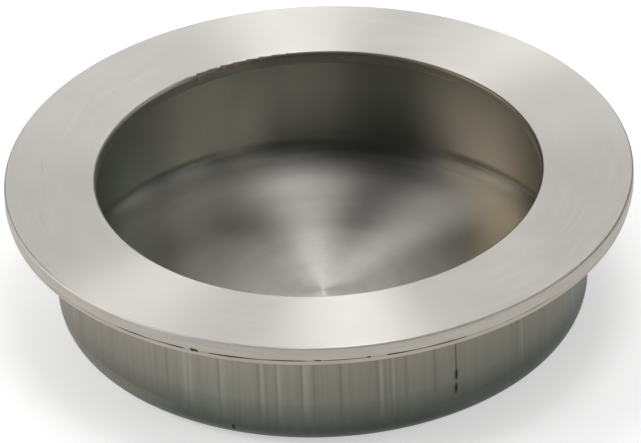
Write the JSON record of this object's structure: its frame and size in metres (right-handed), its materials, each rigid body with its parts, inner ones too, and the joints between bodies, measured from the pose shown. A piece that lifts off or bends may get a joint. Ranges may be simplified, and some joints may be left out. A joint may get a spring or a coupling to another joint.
{
  "type": "recessed pull handle",
  "caption": "Round recessed pull for a sliding door: a flat satin ring over a shallow drawn cup, with an overhanging lip for the fingertips.",
  "frame": {"origin": "centre of the outside of the cup's floor, where the part stands", "axes": "+Z along the centre line, out of the door towards the hand; the ring's show face is at Z = 15.5 mm"},
  "size_m": [0.065, 0.065, 0.0155],
  "materials": {
    "ring_satin": "stainless steel plate with a fine circular satin grain, edges lightly polished",
    "cup_sheet": "drawn stainless steel sheet, floor turned to a fine circular grain, wall with upright draw marks"
  },
  "bodies": {
    "root": {"face_ring": "ring_satin", "drawn_cup": "cup_sheet"}
  },
  "joints": []
}
